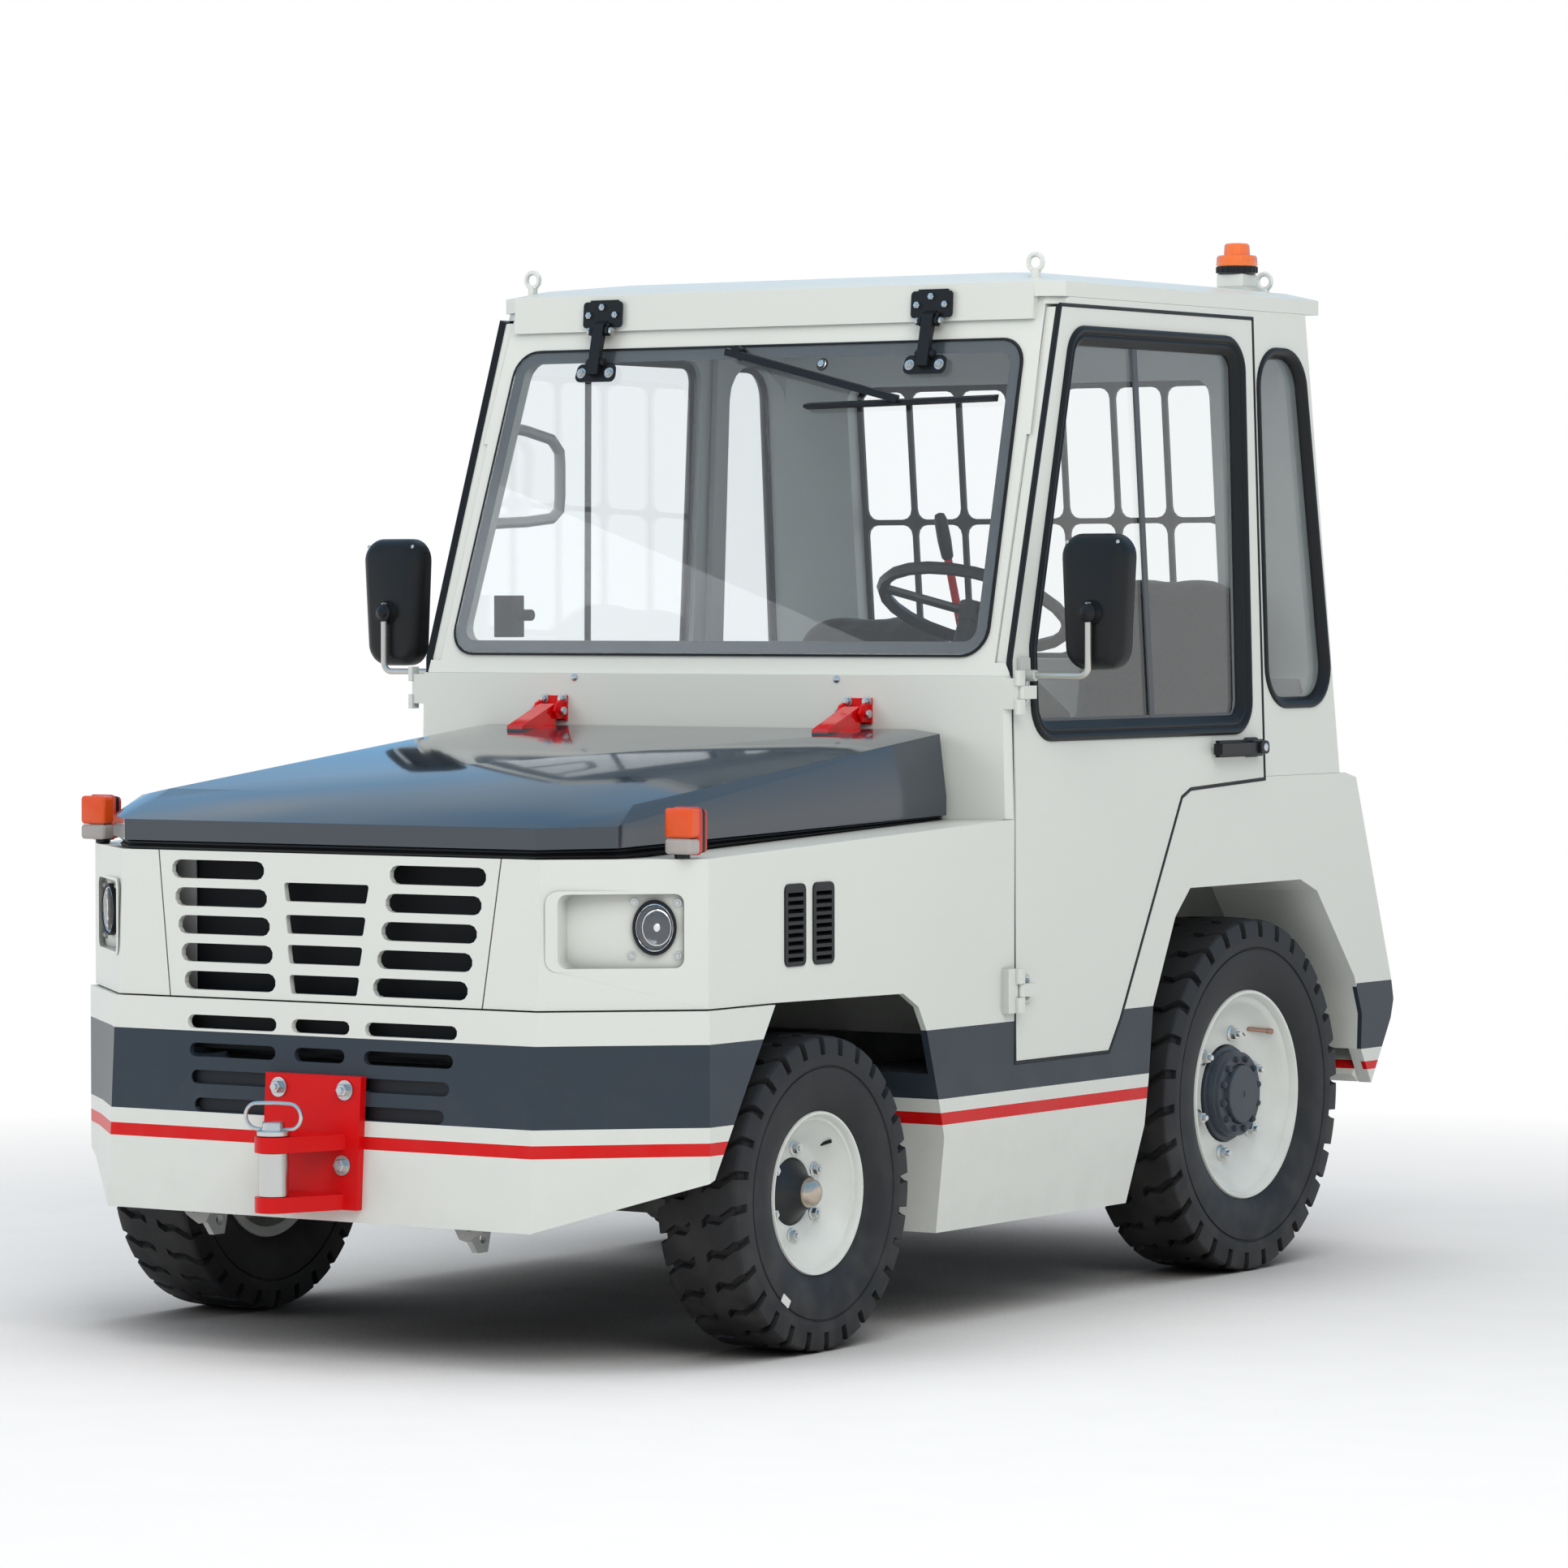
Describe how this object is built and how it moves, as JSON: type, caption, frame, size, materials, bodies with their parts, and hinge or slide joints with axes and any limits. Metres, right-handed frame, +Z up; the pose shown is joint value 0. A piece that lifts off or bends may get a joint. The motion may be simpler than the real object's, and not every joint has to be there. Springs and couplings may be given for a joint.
{
  "type": "airport baggage tug",
  "caption": "Cabbed baggage tow tractor: low slate hood, white body, glazed cab with hinged doors, steered front wheels, and a pin hitch at each end.",
  "frame": {"origin": "ground level, under the middle of the overall box, between the tips of the two hitches", "axes": "+Z up; -Y the way it drives forward; +X the vehicle's left, the driver's side"},
  "size_m": [1.7936, 3.0298, 2.1033],
  "materials": {
    "amber_lens": "amber lamp lens",
    "black_plastic": "black moulded plastic and rubber edges",
    "cast_iron": "cast and forged running gear",
    "finned_core": "dark radiator core",
    "frame_paint": "dark chassis paint",
    "lamp_glass": "clear lamp lens",
    "red_paint": "gloss red paint on hitches and hinges",
    "seat_vinyl": "dark grey seat cover",
    "slate_paint": "gloss slate paint on the hood",
    "tinted_glass": "grey tinted safety glass",
    "tyre_rubber": "solid rubber tyre",
    "white_paint": "satin off-white paint on sheet steel",
    "zinc_steel": "zinc plated steel"
  },
  "bodies": {
    "chassis": {"beacon": "amber_lens", "cab_floor": "frame_paint", "cab_frame": "white_paint", "chassis_frame": "frame_paint", "cowl": "white_paint", "dashboard": "black_plastic", "drive_shaft": "cast_iron", "driver_seat": "seat_vinyl", "engine_block": "cast_iron", "front_axle": "cast_iron", "front_bumper": "white_paint", "front_hitch": "red_paint", "front_wing_left": "white_paint", "front_wing_right": "white_paint", "grille_panel": "white_paint", "headlamp_left": "lamp_glass", "headlamp_right": "lamp_glass", "hitch_pin": "zinc_steel", "hood_hinge_left": "red_paint", "hood_hinge_right": "red_paint", "passenger_seat": "seat_vinyl", "quarter_glass_left": "tinted_glass", "quarter_glass_right": "tinted_glass", "radiator": "finned_core", "rear_axle": "cast_iron", "rear_fender_left": "white_paint", "rear_fender_right": "white_paint", "rear_hitch": "red_paint", "rear_hitch_pin": "zinc_steel", "rear_window_guard": "black_plastic", "roof": "white_paint", "screen_hinge_left": "black_plastic", "screen_hinge_right": "black_plastic", "step_left": "white_paint", "step_right": "white_paint", "tail_panel": "white_paint", "turn_signal_left": "amber_lens", "turn_signal_right": "amber_lens", "windshield": "tinted_glass", "wing_vent_left": "black_plastic", "wing_vent_right": "black_plastic", "wiper": "black_plastic"},
    "hood": {"hood": "slate_paint"},
    "door_left_body": {"door_left": "white_paint", "door_glass_left": "tinted_glass", "mirror_left": "black_plastic"},
    "knuckle_left_body": {"knuckle_left": "cast_iron"},
    "front_wheel_left": {"front_tyre_left": "tyre_rubber", "front_rim_left": "white_paint"},
    "rear_wheel_left": {"rear_tyre_left": "tyre_rubber", "rear_rim_left": "white_paint"},
    "door_right_body": {"door_right": "white_paint", "door_glass_right": "tinted_glass", "mirror_right": "black_plastic"},
    "knuckle_right_body": {"knuckle_right": "cast_iron"},
    "front_wheel_right": {"front_tyre_right": "tyre_rubber", "front_rim_right": "white_paint"},
    "rear_wheel_right": {"rear_tyre_right": "tyre_rubber", "rear_rim_right": "white_paint"},
    "steering": {"steering_wheel": "black_plastic"}
  },
  "joints": [
    {"name": "hood_hinge", "type": "hinge", "parent": "chassis", "child": "hood", "pos_m": [0, -0.14506, 1.142], "axis": [-1, 0, 0], "range_deg": [0, 60]},
    {"name": "door_left_hinge", "type": "hinge", "parent": "chassis", "child": "door_left_body", "pos_m": [0.716, -0.10706, 0.9], "axis": [0, 0, -1], "range_deg": [0, 75]},
    {"name": "door_right_hinge", "type": "hinge", "parent": "chassis", "child": "door_right_body", "pos_m": [-0.716, -0.10706, 0.9], "axis": [0, 0, 1], "range_deg": [0, 75]},
    {"name": "steer_left", "type": "hinge", "parent": "chassis", "child": "knuckle_left_body", "pos_m": [0.5, -0.78706, 0.288], "axis": [0, 0, 1], "range_deg": [-30, 30]},
    {"name": "front_wheel_left_spin", "type": "hinge", "parent": "knuckle_left_body", "child": "front_wheel_left", "pos_m": [0.63, -0.78706, 0.288], "axis": [1, 0, 0], "continuous": true},
    {"name": "steer_right", "type": "hinge", "parent": "chassis", "child": "knuckle_right_body", "pos_m": [-0.5, -0.78706, 0.288], "axis": [0, 0, 1], "range_deg": [-30, 30]},
    {"name": "front_wheel_right_spin", "type": "hinge", "parent": "knuckle_right_body", "child": "front_wheel_right", "pos_m": [-0.63, -0.78706, 0.288], "axis": [1, 0, 0], "continuous": true},
    {"name": "rear_wheel_left_spin", "type": "hinge", "parent": "chassis", "child": "rear_wheel_left", "pos_m": [0.592, 0.84094, 0.358], "axis": [1, 0, 0], "continuous": true},
    {"name": "rear_wheel_right_spin", "type": "hinge", "parent": "chassis", "child": "rear_wheel_right", "pos_m": [-0.592, 0.84094, 0.358], "axis": [1, 0, 0], "continuous": true},
    {"name": "steering_column", "type": "hinge", "parent": "chassis", "child": "steering", "pos_m": [0.36, 0.29494, 1.345], "axis": [0, 0.4226, 0.9063], "range_deg": [-540, 540]}
  ],
  "couplings": [
    {"joint": "steer_right", "follows": "steer_left", "ratio": 1},
    {"joint": "steering_column", "follows": "steer_left", "ratio": 18}
  ]
}
